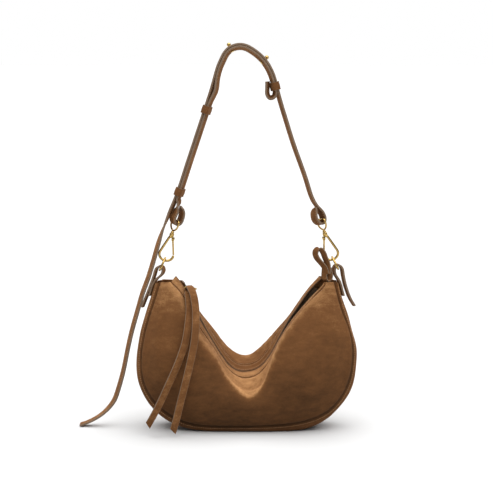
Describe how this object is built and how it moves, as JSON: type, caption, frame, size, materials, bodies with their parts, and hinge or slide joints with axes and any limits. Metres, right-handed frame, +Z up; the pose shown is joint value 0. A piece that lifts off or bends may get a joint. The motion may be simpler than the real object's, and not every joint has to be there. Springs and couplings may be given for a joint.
{
  "type": "hobo bag",
  "caption": "Crescent suede hobo bag with a zipped top, twin tassel pull, D-rings and a doubled shoulder strap on swivel hooks.",
  "frame": {"origin": "on the floor under the middle of the bag's flat base", "axes": "+Z up, -Y is the front face with the tassels, +X towards the right tip as seen from the front"},
  "size_m": [0.3958, 0.1142, 0.5465],
  "materials": {
    "suede": "napped, matt",
    "suede_dark": "napped, matt",
    "lining": "plain woven",
    "zip_tape": "woven tape",
    "pale_gold": "polished pale gold plate"
  },
  "bodies": {
    "bag": {"front_panel": "suede", "back_panel": "suede", "gusset": "suede", "front_facing": "suede", "back_facing": "suede", "end_flap_left": "suede_dark", "end_flap_right": "suede_dark", "lining": "lining", "zip_tape_front": "zip_tape", "zip_tape_back": "zip_tape", "zip_teeth": "pale_gold", "zip_stop_left": "pale_gold", "zip_stop_right": "pale_gold", "ring_tab_left": "suede", "ring_tab_right": "suede", "end_tab_loop": "suede", "end_tab_clip": "suede"},
    "ring_left": {"d_ring_left": "pale_gold"},
    "ring_right": {"d_ring_right": "pale_gold"},
    "slider": {"zip_slider": "pale_gold", "pull_ring": "pale_gold"},
    "tassels": {"tassel_loop": "suede_dark", "tassel_left": "suede", "tassel_right": "suede"},
    "strap": {"strap_long": "suede", "strap_short": "suede", "keeper_3": "suede", "stud_1": "pale_gold", "stud_2": "pale_gold", "stud_screw_1": "pale_gold", "stud_screw_2": "pale_gold", "hook_eye_left": "pale_gold", "hook_eye_right": "pale_gold"},
    "lower_keeper": {"keeper_1": "suede"},
    "upper_keeper": {"keeper_2": "suede"},
    "hook_left": {"hook_left": "pale_gold", "gate_pin_left": "pale_gold"},
    "hook_right": {"hook_right": "pale_gold", "gate_pin_right": "pale_gold"},
    "gate_left": {"hook_gate_left": "pale_gold"},
    "gate_right": {"hook_gate_right": "pale_gold"}
  },
  "joints": [
    {"name": "ring_left_turn", "type": "hinge", "parent": "bag", "child": "ring_left", "pos_m": [-0.1222, 0, 0.2274], "axis": [0, 1, 0], "range_deg": [-4, 4]},
    {"name": "ring_right_turn", "type": "hinge", "parent": "bag", "child": "ring_right", "pos_m": [0.129, 0, 0.2292], "axis": [0, 1, 0], "range_deg": [-4, 4]},
    {"name": "strap_fold", "type": "hinge", "parent": "bag", "child": "strap", "pos_m": [-0.1155, 0, 0.24], "axis": [-1, 0, -0.0059], "range_deg": [0, 95]},
    {"name": "hook_left_swivel", "type": "hinge", "parent": "strap", "child": "hook_left", "pos_m": [-0.1055, 0, 0.2755], "axis": [0.2711, 0, 0.9625], "range_deg": [-15, 15]},
    {"name": "hook_right_swivel", "type": "hinge", "parent": "strap", "child": "hook_right", "pos_m": [0.1108, 0, 0.2766], "axis": [-0.3007, 0, 0.9537], "range_deg": [-15, 15]},
    {"name": "gate_left_open", "type": "hinge", "parent": "hook_left", "child": "gate_left", "pos_m": [-0.10369, 0, 0.26938], "axis": [0, 1, 0], "range_deg": [0, 20], "stiffness_Nm_per_rad": 0.01, "springref_deg": -20.05},
    {"name": "gate_right_open", "type": "hinge", "parent": "hook_right", "child": "gate_right", "pos_m": [0.10918, 0, 0.27043], "axis": [0, -1, 0], "range_deg": [0, 20], "stiffness_Nm_per_rad": 0.01, "springref_deg": -20.05},
    {"name": "lower_keeper_slide", "type": "slide", "parent": "strap", "child": "lower_keeper", "axis": [0.3167, 0, 0.9485], "range_m": [-0.002, 0.04]},
    {"name": "upper_keeper_slide", "type": "slide", "parent": "strap", "child": "upper_keeper", "axis": [0.3167, 0, 0.9485], "range_m": [-0.04, 0.002]},
    {"name": "zip_slide", "type": "slide", "parent": "bag", "child": "slider", "axis": [0.4176, 0, -0.9086], "range_m": [0, 0.03]},
    {"name": "tassel_lift", "type": "hinge", "parent": "slider", "child": "tassels", "pos_m": [-0.07675, -0.0055, 0.19945], "axis": [-1, 0, 0], "range_deg": [0, 75]}
  ]
}
